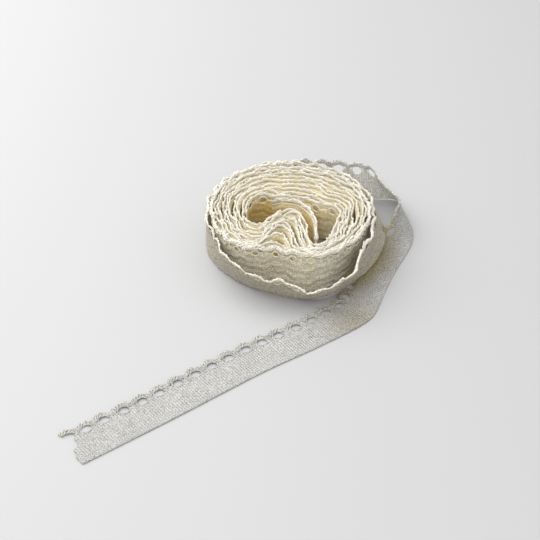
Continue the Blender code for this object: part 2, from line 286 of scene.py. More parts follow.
# The looks of threads and grounds: their tones from the deep to the light colour, the share of light
# that comes through, the size of their grain in millimetres and its darkest share of the full tone.
# The first colour is painted shade: ochre or beige below the tops of the wound turns, and brown in the
# roll's shade on the loose end, whose second colour, dark grey, is painted shade where it turns. The last
# of three or four colours is painted light on the tape behind the roll; the others are the thread's own.
THREAD_LOOKS = {
    "lace_roll_thread": ThreadLook([(0.95, 0.86, 0.60), (0.99, 0.97, 0.91)], 0.35, 0.5, 0.82),
    "lace_roll_net": ThreadLook([(0.86, 0.67, 0.27), (0.96, 0.88, 0.64)], 0.4, 0.6, 0.8),
    "lace_wall_net": ThreadLook([(0.88, 0.82, 0.66), (0.92, 0.88, 0.76)], 0.4, 0.5, 0.6),
    "lace_outer_net": ThreadLook(
        [(0.66, 0.615, 0.505), (0.72, 0.685, 0.59), (0.98, 0.97, 0.93)], 0.45, 0.45, 0.56),
    "lace_tail_thread": ThreadLook(
        [(0.55, 0.45, 0.20), (0.58, 0.55, 0.46), (0.80, 0.79, 0.76), (0.97, 0.95, 0.90)], 0.4, 0.5, 0.5),
    "lace_tail_net": ThreadLook(
        [(0.51, 0.40, 0.12), (0.54, 0.51, 0.43), (0.72, 0.717, 0.71), (0.98, 0.97, 0.93)], 0.45, 0.45, 0.56),
}


def smooth_read(knots, values, places):
    """Reads rows of values at places between their knots, on a smooth curve through them."""
    knots, values = np.asarray(knots, float), np.asarray(values, float)
    places = np.asarray(places, float)
    last = len(knots) - 1
    low, high = np.clip(np.arange(last + 1) - 1, 0, last), np.clip(np.arange(last + 1) + 1, 0, last)
    slopes = (values[high] - values[low]) / (knots[high] - knots[low])[:, None]
    index = np.clip(np.searchsorted(knots, places, side="right") - 1, 0, last - 1)
    span = (knots[index + 1] - knots[index])[:, None]
    t = (places - knots[index])[:, None] / span
    blend = t * t * (3 - 2 * t)
    start, end = values[index], values[index + 1]
    ease_out, ease_in = t * (1 - t) ** 2, t * t * (t - 1)
    return start + (end - start) * blend + span * (ease_out * slopes[index] + ease_in * slopes[index + 1])


def read_round(rows, azimuths):
    """Reads a table that closes on itself at any azimuths, as a named tuple of columns."""
    rows = sorted(rows, key=lambda row: row.azimuth)
    table = np.array(rows, float)
    table = np.vstack([shifted(table, -360), table, shifted(table, 360)])
    wrapped = np.mod(np.asarray(azimuths, float) + 180, 360) - 180
    values = smooth_read(table[:, 0], table[:, 1:], wrapped)
    return rows[0]._make([wrapped, *values.T])


def shifted(table, turn):
    """A copy of a table with its azimuths moved by a turn."""
    copy = table.copy()
    copy[:, 0] += turn
    return copy


def unit(vectors):
    """Vectors scaled to a length of one."""
    return vectors / np.maximum(np.linalg.norm(vectors, axis=-1, keepdims=True), 1e-9)


def distances_along(line):
    """The distance along a line of points, at each of them."""
    return np.concatenate([[0], np.cumsum(np.linalg.norm(np.diff(line, axis=0), axis=1))])


def left_of(line):
    """The directions to the left of a line in the flat."""
    forward = unit(np.gradient(line, axis=0))
    return np.stack([-forward[:, 1], forward[:, 0]], 1)


def ease(x):
    """0 below 0, 1 above 1 and smooth between them."""
    x = np.clip(x, 0, 1)
    return x * x * (3 - 2 * x)


def faded(values, fade):
    """0 before a fade, 1 past it and smooth across it."""
    return ease((values - fade.start) / fade.width)


def wander(phase, *waves):
    """A smooth irregular wave, as the sum of sines given as (amplitude, frequency, offset)."""
    return sum(amplitude * np.sin(frequency * phase + offset) for amplitude, frequency, offset in waves)


def kinked(x, y, share):
    """Pushes places in plan where the turns buckle, by a share of the full push."""
    moved_x, moved_y = x.copy(), y.copy()
    for kink in KINKS:
        near = np.exp(-(((x - kink.x) / kink.width_x) ** 4) - ((y - kink.y) / kink.width_y) ** 2)
        moved_x = moved_x + share * kink.push_x * near
        moved_y = moved_y + share * kink.push_y * near
    return moved_x, moved_y


def between_guides(guides, depth):
    """Places at depths between nested guide lines, on smooth curves across them."""
    last, here = len(GUIDE_DEPTHS) - 1, np.arange(len(depth))
    index = np.clip(np.searchsorted(GUIDE_DEPTHS, depth, side="right") - 1, 0, last - 1)

    def slope(i):
        low, high = np.clip(i - 1, 0, last), np.clip(i + 1, 0, last)
        return (guides[high, here] - guides[low, here]) / (GUIDE_DEPTHS[high] - GUIDE_DEPTHS[low])[:, None]

    span = (GUIDE_DEPTHS[index + 1] - GUIDE_DEPTHS[index])[:, None]
    t = (depth - GUIDE_DEPTHS[index])[:, None] / span
    blend = t * t * (3 - 2 * t)
    start, end = guides[index, here], guides[index + 1, here]
    ease_out, ease_in = t * (1 - t) ** 2, t * t * (t - 1)
    return start + (end - start) * blend + span * (ease_out * slope(index) + ease_in * slope(index + 1))


def wound_sections(turns_in):
    """The plain and the scalloped edge of the wound tape, by how many turns in from where it leaves."""
    azimuth = LEAVING_AZIMUTH + 360 * turns_in
    phase = np.radians(azimuth)
    outer, wall = read_round(OUTER_TURNS, azimuth), read_round(HOLLOW, azimuth)
    ray = np.stack([np.cos(phase), np.sin(phase)], 1)

    wound = ease((turns_in - FREE_SHARE) / (1 - FREE_SHARE))[:, None]
    depth = np.clip((turns_in - 1) / (TURNS - 1), 0, 1)
    pitch_share = 1 / (TURNS - 1)
    loose = np.clip(turns_in - 0.9, 0, 1) * np.sqrt(np.clip(1.02 - depth, 0, 1))
    sway = wander(phase, (0.14, 1.37, 0.4), (0.11, 2.71, 1.9), (0.08, 4.9, 0.3), (0.05, 9.3, 2.0))
    tilt = wander(phase, (0.20, 0.83, 2.2), (0.15, 3.17, 0.6), (0.08, 7.7, 1.1))
    top_depth = np.clip(depth + pitch_share * loose * (sway + 0.9 * tilt), 0, 1)
    base_depth = np.clip(depth + pitch_share * loose * sway, 0, 1)

    hollow = np.stack([wall.x, wall.y], 1)
    tongue = np.array(TONGUE)
    nested = smooth_read(tongue[:, 0], tongue[:, 1:], np.clip(wall.azimuth, tongue[0, 0], tongue[-1, 0]))
    on_tongue = faded(wall.azimuth, TONGUE_FADE_IN) * (1 - faded(wall.azimuth, TONGUE_FADE_OUT))
    on_tongue = on_tongue[:, None]

    def wound_line(rim, depth):
        """The turns' line from the rim to the hollow, bunched where they cross the tongue."""
        thirds = 6 * math.pi
        depth = depth + on_tongue[:, 0] * TONGUE_BUNCHING * np.sin(thirds * depth) / thirds
        guides = [rim]
        for share, place in zip(GUIDE_DEPTHS[1:3], (nested[:, :2], nested[:, 2:])):
            plain = rim + (hollow - rim) * share
            guides.append(plain + (place - plain) * on_tongue)
        return between_guides(np.stack([*guides, hollow]), depth)

    inner_top = wound_line(ray * outer.rim[:, None], top_depth)
    inner_base = wound_line(ray * outer.foot[:, None], base_depth)
    outer_top, outer_base = ray * outer.edge[:, None], ray * outer.base[:, None]

    top = outer_top + (inner_top - outer_top) * wound
    base = outer_base + (inner_base - outer_base) * wound
    buckle = ease(turns_in - 0.9)
    top = np.stack(kinked(top[:, 0], top[:, 1], buckle), 1)
    base = np.stack(kinked(base[:, 0], base[:, 1], 0.6 * buckle), 1)

    lift = 0.3 + 0.35 * (1 + wander(phase, (0.7, 0.61, 1.0), (0.3, 2.3, 0.2)))
    low = outer.lift + (lift - outer.lift) * wound[:, 0]
    spread = np.clip(np.linalg.norm(top - base, axis=1), 0, 0.9 * TAPE_WIDTH)
    rise = np.sqrt(TAPE_WIDTH ** 2 - spread ** 2)
    high = outer.height + (low + rise - outer.height) * wound[:, 0]
    return np.column_stack([base, low]), np.column_stack([top, high])


def leaning_sections(rows):
    """The two edges of a strip given by where it stands and how it leans."""
    table = np.array([row[:4] for row in rows], float)
    lean, towards = np.radians(table[:, 2]), np.radians(table[:, 3])
    across = np.stack([np.sin(lean) * np.cos(towards), np.sin(lean) * np.sin(towards), np.cos(lean)], 1)
    low = np.column_stack([table[:, :2], NET_REST * np.sin(lean) + 0.25 * np.cos(lean)])
    return low, low + TAPE_WIDTH * across


class Tape:
    """A run of tape: its plain edge, the way across it, its normal and how its cloth is bent.

    rise lifts the middle, sway pushes the scallops out of the cloth, and curl rolls the part above
    curl_start over, in radians to each millimetre.
    """

    def __init__(self, plain, scalloped, rise=0.0, sway=0.0, curl=0.0, curl_start=TAPE_WIDTH):
        middle = 0.5 * (plain + scalloped)
        along = distances_along(middle)
        self.length = along[-1]
        self.distances = np.arange(0, self.length + PATH_STEP, PATH_STEP)
        self.curl_start = curl_start

        def even(values):
            values = np.broadcast_to(np.asarray(values, float).reshape(-1, 1), (len(along), 1)) \
                if np.ndim(values) < 2 else values
            return np.stack([np.interp(self.distances, along, column) for column in values.T], 1)

        self.plain = even(plain)
        self.across = even(scalloped - plain) / TAPE_WIDTH
        self.rise, self.curl = even(rise), even(curl)
        forward = np.gradient(self.plain + 0.5 * TAPE_WIDTH * self.across, axis=0)
        self.normal = unit(np.cross(self.across, forward))
        knots = np.arange(0, self.length + 8, SWAY_KNOTS)
        loose = RANDOM.standard_normal((len(knots), 1))
        self.sway = even(sway) * smooth_read(knots, loose, self.distances)

    def read(self, values, distance):
        """Reads values kept at even distances."""
        place = np.clip(distance / PATH_STEP, 0, len(self.distances) - 1.001)
        index = place.astype(int)
        share = (place - index)[..., None]
        return values[index] * (1 - share) + values[index + 1] * share

    def bend(self, flat):
        """How far each flat place lies past the start of the curl, and the angle turned by there."""
        past = np.clip(flat[..., 1:2] - self.curl_start, 0, None)
        return past, past * self.read(self.curl, flat[..., 0])

    def normal_at(self, flat):
        """The cloth's normal at flat places."""
        angle = self.bend(flat)[1]
        normal, across = self.read(self.normal, flat[..., 0]), self.read(self.across, flat[..., 0])
        return unit(normal * np.cos(angle) + across * np.sin(angle))

    def place(self, flat):
        """Carries places on the flat tape, as (distance, height, offset), over to the path."""
        distance, height, offset = flat[..., 0], flat[..., 1:2], flat[..., 2:3]
        past, angle = self.bend(flat)
        reach = height - past + past * np.sinc(angle / math.pi)
        drop = past * 0.5 * angle * np.sinc(0.5 * angle / math.pi) ** 2
        rise = self.read(self.rise, distance) * np.sin(math.pi * np.clip(height / TAPE_WIDTH, 0, 1))
        sway = self.read(self.sway, distance) * (np.clip(height - SWAY_FROM, 0, None) / SWAY_SPAN) ** 2
        point = self.read(self.plain, distance) + self.read(self.across, distance) * reach
        point = point - self.read(self.normal, distance) * drop
        return point + self.normal_at(flat) * (offset + rise + sway)


class Piece:
    """Gathers points and faces, and makes them one mesh object.

    tone gives how deep in painted shade, or on the loose end how far in painted light, the thread is at
    points, from their heights on the tape and their places; groove how much deeper the painted shade is
    between a cord's plies, and ribbing how much lighter it is painted on raised ribs and darker on sunk ones.
    """

    def __init__(self, tone):
        self.tone = tone
        lying = tone is lying_painted_shading
        self.groove_shade = LYING_GROOVE_SHADE if lying else WOUND_GROOVE_SHADE
        self.rib_shading = LYING_RIB_SHADING if lying else WOUND_RIB_SHADING
        self.points, self.tones, self.faces, self.count = [], [], [], 0

    def add(self, points, tones, *faces):
        self.points.append(points.reshape(-1, 3))
        self.tones.append(tones.ravel())
        self.faces += [block + self.count for block in faces if len(block)]
        self.count += len(self.points[-1])

    def make(self, name, material):
        corners = np.concatenate([block.ravel() for block in self.faces])
        used, corners = np.unique(corners, return_inverse=True)
        points = np.concatenate(self.points)[used] * MILLIMETRE
        sizes = np.concatenate([np.full(len(block), block.shape[1]) for block in self.faces])
        mesh = bpy.data.meshes.new(name)
        mesh.vertices.add(len(points))
        mesh.vertices.foreach_set("co", points.ravel())
        mesh.loops.add(len(corners))
        mesh.loops.foreach_set("vertex_index", corners.astype(np.int32))
        starts = np.concatenate([[0], np.cumsum(sizes)[:-1]])
        mesh.polygons.add(len(sizes))
        mesh.polygons.foreach_set("loop_start", starts.astype(np.int32))
        tone = mesh.attributes.new("tone", "FLOAT", "POINT")
        tone.data.foreach_set("value", np.concatenate(self.tones)[used].astype(np.float32))
        mesh.update(calc_edges=True)
        mesh.validate()
        mesh.shade_smooth()
        mesh.materials.append(material)
        thing = bpy.data.objects.new(name, mesh)
        bpy.context.collection.objects.link(thing)
        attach(thing, "root")
        return thing


def wound_painted_shading(height, place):
    """Light along the scallops' tops, painted light down the right bay, and painted shade, deeper, below the
    other tops.
    """
    right_bay = faded(place[..., 0], BAY_LEFT_FADE) * (1 - faded(place[..., 0], BAY_RIGHT_FADE))
    return np.maximum(faded(height, RIM_FADE), right_bay)


def leaving_painted_shading(height, place):
    """Half of the wound turns' painted shade, and the same painted light as the loose end where that leaves
    the roll's back.
    """
    leaving = faded(place[..., 0], LEAVING_FADE) * faded(place[..., 1], OUTER_BACK_FADE)
    half = 0.5 * wound_painted_shading(height, place)
    return half + (1 - half) * leaving


def lying_painted_shading(height, place):
    """Painted shade, warm and deep in the roll's shade and dim at the turn, grey elsewhere, and painted
    light, brightest, behind the roll.
    """
    away = np.hypot(place[..., 0], place[..., 1])
    clear = np.maximum(faded(away, SHADE_FADE), faded(place[..., 1], SIDE_FADE))
    turning = np.hypot(place[..., 0] - TURNING_X, place[..., 1] - TURNING_Y) / TURNING_REACH
    behind = faded(place[..., 1], BEHIND_FADE)
    return (2 * clear * (1 - 0.5 * np.exp(-turning ** 2)) + behind) / 3


def add_tubes(piece, tape, flat, radius, sides, axis=None):
    """Adds one tube along each row of flat places, closed at both ends.

    radius may vary along the tube. Where axis, the line that a ply winds round, is given, the side
    towards it has a deeper tone: painted shade in the groove between the plies.
    """
    count, steps = flat.shape[:2]
    centre = tape.place(flat)
    forward = unit(np.gradient(centre, axis=1))
    normal = tape.normal_at(flat)
    normal = unit(normal - forward * (normal * forward).sum(-1, keepdims=True))
    side = np.cross(forward, normal)
    radius = np.broadcast_to(radius, (count, steps))[..., None]
    turn = 2 * math.pi * (np.arange(sides) + 0.5) / sides
    ring = (
        centre[:, :, None]
        + (radius * np.cos(turn))[..., None] * side[:, :, None]
        + (radius * np.sin(turn))[..., None] * normal[:, :, None]
    )
    tone = piece.tone(flat[..., 1], centre)[:, :, None] + np.zeros((1, 1, sides))
    # Painted shade on the side of each ply that faces into the cord.
    if axis is not None:
        outward = unit(centre - tape.place(axis))[:, :, None]
        facing = (unit(ring - centre[:, :, None]) * outward).sum(-1)
        tone = tone * (1 - piece.groove_shade * ease(0.6 - 0.5 * facing))
    tips = np.stack([
        centre[:, 0] - forward[:, 0] * radius[:, 0] * 0.7,
        centre[:, -1] + forward[:, -1] * radius[:, -1] * 0.7,
    ], 1)
    points = np.concatenate([ring.reshape(count, -1, 3), tips], 1)
    tones = np.concatenate([tone.reshape(count, -1), tone[:, 0, :1], tone[:, -1, :1]], 1)
    per_tube = points.shape[1]
    here = (np.arange(steps - 1)[:, None] * sides + np.arange(sides)).ravel()
    there = (np.arange(steps - 1)[:, None] * sides + (np.arange(sides) + 1) % sides).ravel()
    walls = np.stack([here, there, there + sides, here + sides], 1)
    around, after = np.arange(sides), (np.arange(sides) + 1) % sides
    last = (steps - 1) * sides
    first_cap = np.stack([np.full(sides, per_tube - 2), after, around], 1)
    last_cap = np.stack([np.full(sides, per_tube - 1), last + around, last + after], 1)
    starts = (np.arange(count) * per_tube)[:, None, None]
    blocks = [(block[None] + starts).reshape(-1, block.shape[1]) for block in (walls, first_cap, last_cap)]
    piece.add(points, tones, *blocks)


def add_cloth(piece, tape, start, end, high, step, rows, thickness, relief=None, opened=None):
    """Adds a closed thin strip of cloth between two distances, from the plain edge to a height.

    high may vary along the tape, and relief gives how far the cloth stands out at each flat place.
    opened says which cells of its grid are left open, by their numbers and by their flat places.
    """
    columns = max(int((end - start) / step), 2)
    distance = np.linspace(start, end, columns)
    high = np.broadcast_to(high, columns)
    share = np.linspace(0, 1, rows)
    height = NET_BOTTOM + (high[:, None] - NET_BOTTOM) * share
    grid = np.stack([np.broadcast_to(distance[:, None], height.shape), height], -1)
    out = np.zeros(height.shape) if relief is None else relief(grid[..., 0], height)
    layers = [np.concatenate([grid, (out + offset)[..., None]], -1)
              for offset in (0.5 * thickness, -0.5 * thickness)]
    points = np.stack([tape.place(layer) for layer in layers])
    tones = np.stack([piece.tone(layer[..., 1], place) for layer, place in zip(layers, points)])
    # Painted light and shade of the relief: lighter on raised ribs and crinkles, darker in sunk ones.
    tones = tones * (1 + piece.rib_shading * out)

    closed = np.ones((columns - 1, rows - 1), bool)
    if opened is not None:
        column, row = np.indices(closed.shape)
        closed = ~opened(column, row, grid[:-1, :-1, 0], grid[:-1, :-1, 1])
    upper, lower = np.arange(2 * columns * rows).reshape(2, columns, rows)
    outer = np.stack([upper[:-1, :-1], upper[:-1, 1:], upper[1:, 1:], upper[1:, :-1]], -1)[closed]
    inner = np.stack([lower[:-1, :-1], lower[1:, :-1], lower[1:, 1:], lower[:-1, 1:]], -1)[closed]
    beyond = np.pad(closed, 1)
    before, after = beyond[:-1, 1:-1], beyond[1:, 1:-1]
    below, above = beyond[1:-1, :-1], beyond[1:-1, 1:]
    walls = []
    for here, first, second in (
        (after & ~before, np.s_[:, 1:], np.s_[:, :-1]),
        (before & ~after, np.s_[:, :-1], np.s_[:, 1:]),
        (above & ~below, np.s_[:-1], np.s_[1:]),
        (below & ~above, np.s_[1:], np.s_[:-1]),
    ):
        wall = np.stack([upper[first], upper[second], lower[second], lower[first]], -1)
        walls.append(wall[here])
    piece.add(points, tones, outer, inner, *walls)


def scallop_phase(tape, distance):
    """Counts scallops along the tape from its last eyelet; their length varies a little."""
    count = (distance - tape.length + LAST_EYELET_FROM_END) / SCALLOP_PITCH
    return count + wander(count, (0.035, 1.9, 0.0), (0.03, 0.73, 0.0))


def eyelet_centres(tape, start, end):
    """Distances of the eyelets between two distances; the last is near the tape's cut end."""
    grid = np.arange(start - 2 * SCALLOP_PITCH, end + 2 * SCALLOP_PITCH, 0.5)
    phase = scallop_phase(tape, grid)
    centres = np.interp(np.arange(math.ceil(phase[0]), 1), phase, grid)
    return centres[(centres >= start) & (centres < end)]


def scallop_arch(tape, distance):
    """How far up its arch the edge cord is: 1 over each eyelet, and 0 between two."""
    phase = scallop_phase(tape, distance)
    aside = 2 * np.abs(phase - np.round(phase))
    return np.sqrt(1 - np.clip(aside, 0, 1) ** SCALLOP_POWER)


def twisted(line, offset, twist, start, flatness, lift):
    """One ply of a twisted cord, more or less flattened, that follows a line on the flat tape."""
    sideways = left_of(line)
    turn = 2 * math.pi * distances_along(line) / twist + start
    place = line + sideways * (offset * np.cos(turn))[:, None]
    return np.column_stack([place, lift + flatness * offset * np.sin(turn)])


def add_edge_cord(piece, tape, start, end, dip, step, sides, loop_gap, girth):
    """Adds the three-ply cord along the scallops, with short loops of thread standing off it.

    girth gives the share of its full thickness that the cord has at each distance.
    """
    distance = np.arange(start, end, step)
    flatness, lift = LYING_CORD if piece.tone is lying_painted_shading else WOUND_CORD
    arch = scallop_arch(tape, distance)
    height = SCALLOP_TOP - dip * (1 - arch)
    knots = np.arange(start, end + 4, CORD_KNOTS)
    uneven = CORD_UNEVENNESS * RANDOM.standard_normal((len(knots), 1))
    line = np.column_stack([distance, height + smooth_read(knots, uneven, distance)[:, 0]])
    axis = np.column_stack([line, np.full(len(line), lift)])
    swell = 1 + CORD_SWELL * RANDOM.standard_normal(len(line))
    share = girth(distance)
    twist = PLY_TWIST * (0.35 + 0.65 * share.mean())
    thick = (0.55 + 0.49 * arch) * share
    swell = swell * thick
    for ply in range(3):
        flat = twisted(line, PLY_OFFSET * thick, twist, 2 * math.pi * ply / 3, flatness, lift)
        add_tubes(piece, tape, flat[None], PLY_RADIUS * swell[None], sides, axis=axis[None])

    count = int((end - start) / loop_gap)
    foot = RANDOM.uniform(0, len(line) - 1.01, count).astype(int)
    around = RANDOM.uniform(-1.9, 1.9, count)[:, None, None]
    forward = unit(np.gradient(line, axis=0))[foot][:, None]
    sideways = left_of(line)[foot][:, None]
    bend = np.radians(np.linspace(-30, 210, 6))[:, None]
    thin = share[foot][:, None, None]
    rise = RANDOM.uniform(0.5, 1.1, (count, 1, 1)) * PICOT_REACH * thin
    reach = PLY_OFFSET * thin + 0.15 + rise * np.sin(bend)
    spread = RANDOM.uniform(0.25, 0.5, (count, 1, 1)) * np.cos(bend)
    plan = line[foot][:, None] + sideways * reach * np.cos(around) + forward * spread
    flat = np.concatenate([plan, lift + 1.5 * flatness * reach * np.sin(around)], -1)
    add_tubes(piece, tape, flat, PICOT_RADIUS, 4)


def add_eyelets(piece, tape, start, end, steps, sides, size):
    """Adds the thread that binds each eyelet, and the short bars between neighbouring eyelets."""
    centres = eyelet_centres(tape, start, end)
    turn = np.linspace(math.radians(90), math.radians(450), steps)
    ring = np.stack([
        size * EYELET_HALF_LENGTH * np.cos(turn),
        EYELET_HEIGHT + size * EYELET_HALF_HEIGHT * np.sin(turn),
        np.full(steps, RING_LIFT),
    ], 1)
    rings = ring[None] + np.stack([centres, 0 * centres, 0 * centres], 1)[:, None]
    swell = 1 + RING_SWELL * RANDOM.standard_normal(rings.shape[:2])
    add_tubes(piece, tape, rings, RING_RADIUS * swell, sides)
    aside = np.array([0.1, -0.2, 0.15, 0.0])
    bar = np.stack([aside, np.linspace(BAR_BOTTOM, BAR_TOP, 4), np.full(4, 0.12)], 1)
    bars = bar[None] + np.stack([centres + 0.5 * SCALLOP_PITCH, 0 * centres, 0 * centres], 1)[:, None]
    add_tubes(piece, tape, bars, BAR_RADIUS, sides)


def net_top(distance, centres, size):
    """How high the net reaches: under an eyelet's lower rim, and up between two eyelets."""
    gap = np.abs(distance[:, None] - centres[None]).min(1) / (size * EYELET_HALF_LENGTH)
    rim = EYELET_HEIGHT - size * EYELET_HALF_HEIGHT * np.sqrt(1 - np.clip(gap, 0, 1) ** 2)
    return np.where(gap < 1, rim, NET_TOP)


def net_relief(distance, height):
    """How far the open net stands out: ribs across the tape, and faint rows along it."""
    ribs = np.cos(2 * math.pi * distance / RIB_PITCH + 0.5 * np.sin(0.9 * height))
    rows = np.cos(2 * math.pi * height / ROW_PITCH)
    return 0.10 * ribs + 0.04 * rows


def weave_relief(distance, height):
    """How far the close weave of the wound cloth stands out: fine ribs, crossed by crinkled rows."""
    drift = wander(distance, (1.4, 0.83, 0.0), (0.9, 2.1, 1.0), (0.5, 4.7, 2.0))
    rows = np.sin(2 * math.pi * height / ROW_PITCH + drift)
    ribs = np.cos(2 * math.pi * distance / RIB_PITCH + 0.8 * np.sin(0.7 * height))
    creases = np.sin(1.9 * height + wander(distance, (1.6, 0.41, 0.7), (0.8, 1.13, 0.0)))
    creases = creases * np.sin(0.23 * distance + 0.6 * height)
    return 0.2 * rows * (0.6 + 0.4 * creases) + 0.03 * ribs + 0.2 * creases


def add_ground(piece, tape, start, end, size, thickness, relief, opened=None):
    """Adds the ground between two distances, up to its eyelets of a given size."""
    columns = int((end - start) / WEAVE_STEP)
    distance = np.linspace(start, end, columns)
    centres = eyelet_centres(tape, start - SCALLOP_PITCH, end + SCALLOP_PITCH)
    high = net_top(distance, centres, size)
    step = (end - start) / (columns + 0.5)
    add_cloth(piece, tape, start, end, high, step, WEAVE_ROWS, thickness, relief, opened)


def add_selvage(piece, tape, start, end):
    """Adds the thread along the plain edge."""
    distance = np.arange(start, end, SELVAGE_STEP)
    height = NET_BOTTOM + 0.04 * np.sin(3.4 * distance)
    line = np.stack([distance, height, 0.05 * np.sin(5.1 * distance)], 1)
    add_tubes(piece, tape, line[None], SELVAGE_RADIUS, 6)


def thread_material(name, look):
    """Cotton thread: a warmer painted shade deep down and painted light by its tone, uneven patches and grain
    that partly paint light and shade, fine fibres and a soft sheen.
    """
    tones, through_share, grain_size, grain_low = look
    material = bpy.data.materials.new(name)
    material.use_nodes = True
    tree = material.node_tree
    shader = tree.nodes["Principled BSDF"]
    place = tree.nodes.new("ShaderNodeTexCoord")

    def noise(scale, detail, roughness):
        """A noise texture that stays in place on the object."""
        node = tree.nodes.new("ShaderNodeTexNoise")
        node.inputs["Scale"].default_value = scale
        node.inputs["Detail"].default_value = detail
        node.inputs["Roughness"].default_value = roughness
        tree.links.new(place.outputs["Object"], node.inputs["Vector"])
        return node

    patches, fibres = noise(90, 3, 0.5), noise(2600, 2, 0.5)
    grain = noise(1 / (grain_size * MILLIMETRE), 2, 0.6)

    # The tone attribute picks the colour from the ramp: low tones are painted shade, and on three or four
    # colour ramps the top is painted light.
    depth = tree.nodes.new("ShaderNodeAttribute")
    depth.attribute_name = "tone"
    tone = tree.nodes.new("ShaderNodeValToRGB")
    stops = tone.color_ramp.elements
    while len(stops) < len(tones):
        stops.new(0.5)
    for i, colour in enumerate(tones):
        stops[i].position = i / (len(tones) - 1)
        stops[i].color = (*colour, 1)
    tree.links.new(depth.outputs["Fac"], tone.inputs["Fac"])

    varied = tone.outputs["Color"]
    # Random patches, whose lighter spots also stand in as painted light on the undulating cloth, and a fine
    # grain, whose darkest specks on the loose end also stand in as painted shade of the table seen through
    # its pinholes.
    for source, low, high, darkest in (
        (patches, 0.3, 0.7, (0.94, 0.935, 0.92)),
        (grain, 0.36, 0.58, (grain_low, 0.99 * grain_low, 0.96 * grain_low)),
    ):
        ramp = tree.nodes.new("ShaderNodeValToRGB")
        ramp.color_ramp.elements[0].position = low
        ramp.color_ramp.elements[0].color = (*darkest, 1)
        ramp.color_ramp.elements[1].position = high
        ramp.color_ramp.elements[1].color = (1, 1, 1, 1)
        tree.links.new(source.outputs["Fac"], ramp.inputs["Fac"])
        vary = tree.nodes.new("ShaderNodeMix")
        vary.data_type = "RGBA"
        vary.blend_type = "MULTIPLY"
        vary.inputs["Factor"].default_value = 1.0
        tree.links.new(varied, vary.inputs["A"])
        tree.links.new(ramp.outputs["Color"], vary.inputs["B"])
        varied = vary.outputs["Result"]
    tree.links.new(varied, shader.inputs["Base Color"])

    rough = tree.nodes.new("ShaderNodeMapRange")
    rough.inputs["To Min"].default_value = 0.7
    rough.inputs["To Max"].default_value = 0.95
    tree.links.new(fibres.outputs["Fac"], rough.inputs["Value"])
    tree.links.new(rough.outputs["Result"], shader.inputs["Roughness"])
    relief = tree.nodes.new("ShaderNodeBump")
    relief.inputs["Strength"].default_value = 0.5
    relief.inputs["Distance"].default_value = 0.00012
    tree.links.new(fibres.outputs["Fac"], relief.inputs["Height"])
    tree.links.new(relief.outputs["Normal"], shader.inputs["Normal"])
    shader.inputs["Sheen Weight"].default_value = 0.25
    shader.inputs["Sheen Roughness"].default_value = 0.5
    shader.inputs["Specular IOR Level"].default_value = 0.3
    through = tree.nodes.new("ShaderNodeBsdfTranslucent")
    tree.links.new(varied, through.inputs["Color"])
    both = tree.nodes.new("ShaderNodeMixShader")
    both.inputs["Fac"].default_value = through_share
    tree.links.new(shader.outputs["BSDF"], both.inputs[1])
    tree.links.new(through.outputs["BSDF"], both.inputs[2])
    tree.links.new(both.outputs["Shader"], tree.nodes["Material Output"].inputs["Surface"])
    return material


def build_main_tape():
    """The tape from its wound middle to the cut end, and where its outer two turns and loose end start."""
    turns_in = np.linspace(TURNS, LEAVING_TURNS_IN, int(TURNS * PATH_SAMPLES_PER_TURN))
    wound_plain, wound_edge = wound_sections(turns_in)
    strip_plain, strip_edge = leaning_sections(LOOSE_END)
    lead = [-120, -60, -1]
    rise = np.array([0.0] * len(lead) + [row.arch for row in LOOSE_END])
    rows = np.column_stack([
        np.concatenate([wound_plain[lead], strip_plain]),
        np.concatenate([wound_edge[lead], strip_edge]),
        rise,
    ])
    knots = distances_along(0.5 * (rows[:, :3] + rows[:, 3:6]))
    strip = smooth_read(knots, rows, np.arange(knots[2], knots[-1], PATH_STEP))
    wound_length = distances_along(0.5 * (wound_plain + wound_edge))
    outer_start, second_start = np.interp([-1.0, -2.0], -turns_in, wound_length)
    loose_start = wound_length[-1]

    plain = np.concatenate([wound_plain[:-1], strip[:, :3]])
    edge = np.concatenate([wound_edge[:-1], strip[:, 3:6]])
    along = distances_along(0.5 * (plain + edge))
    sway = np.interp(along, [second_start, outer_start, loose_start, loose_start + 25, along[-1]],
                     [0.26, 0.3, 0.3, 0.12, 0.1])
    azimuth = np.mod(LEAVING_AZIMUTH + 360 * turns_in[:-1], 360)
    collar = faded(azimuth, COLLAR_FADE_IN) * (1 - faded(azimuth, COLLAR_FADE_OUT))
    collar = collar * ease((1.02 - turns_in[:-1]) / 0.1)
    curl = np.concatenate([COLLAR_CURL * collar, np.zeros(len(strip))])
    rise = np.concatenate([np.zeros(len(wound_plain) - 1), strip[:, 6]])
    return Tape(plain, edge, rise, sway, curl, CURL_FROM), second_start, outer_start, loose_start


def build_inner_tape():
    """The tape's inner end, slack where it comes down to the table."""
    edge = np.array(INNER_END, float)
    plain = np.column_stack([edge[:, :2], np.maximum(edge[:, 2] - TAPE_WIDTH, NET_REST)])
    knots = distances_along(edge)
    rows = smooth_read(knots, np.column_stack([plain, edge]), np.arange(0, knots[-1], PATH_STEP))
    return Tape(rows[:, :3], rows[:, 3:], sway=0.2)


def open_net(tape):
    """Which cells of the loose end's ground are open: its pinholes, and what is torn off at the cut."""

    def opened(column, row, distance, height):
        pinhole = (column % PINHOLE_SPACING == 1) & (row < WEAVE_ROWS - 3)
        pinhole &= (row + column // PINHOLE_SPACING) % PINHOLE_SPACING == 1
        pinhole &= np.sin(0.31 * distance + 0.4 * height) + np.sin(1.3 * distance - 0.9 * height) < 1.25
        back = tape.length - distance
        cut = np.interp(back, *zip(*TORN_LINE))
        return pinhole | (height > cut)

    return opened


Stretch = namedtuple("Stretch", "name start end net edge rings tone cord_tone dip step loop_gap girth eyelet")
# A stretch of tape between two distances: the looks of its ground, edge cord and eyelets and their painted
# light and shade, how far the cord comes down between two scallops, its sampling, the length of cord to
# each of its loops, its share of the full thickness, and the eyelets' size.


